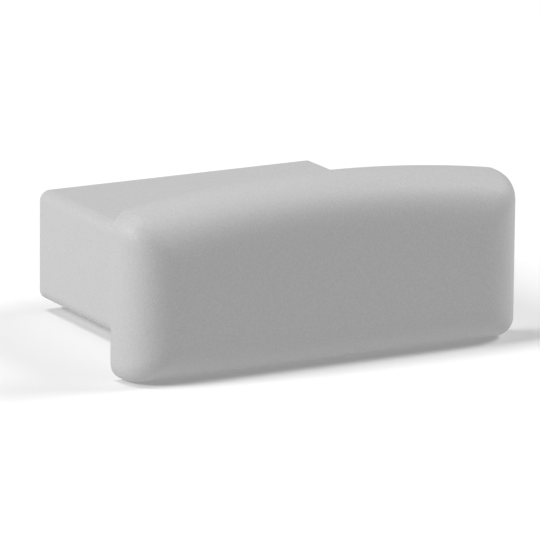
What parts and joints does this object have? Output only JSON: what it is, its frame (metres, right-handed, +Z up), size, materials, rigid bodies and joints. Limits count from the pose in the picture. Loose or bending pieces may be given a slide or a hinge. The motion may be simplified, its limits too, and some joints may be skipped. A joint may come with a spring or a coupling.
{
  "type": "profile end cap",
  "caption": "Moulded end cap for a slim surface-mounted profile: arched, softly rounded head with a hollow plug behind it.",
  "frame": {"origin": "on the shoulder, the plane where the head's back meets the profile's sawn end, at the middle of the plug", "axes": "+X across the cap, +Y along the plug into the profile, +Z up towards the arched top"},
  "size_m": [0.017, 0.0129, 0.0071],
  "materials": {
    "grey_plastic": "fine satin moulded grey plastic"
  },
  "bodies": {
    "root": {"end_cap": "grey_plastic"}
  },
  "joints": []
}
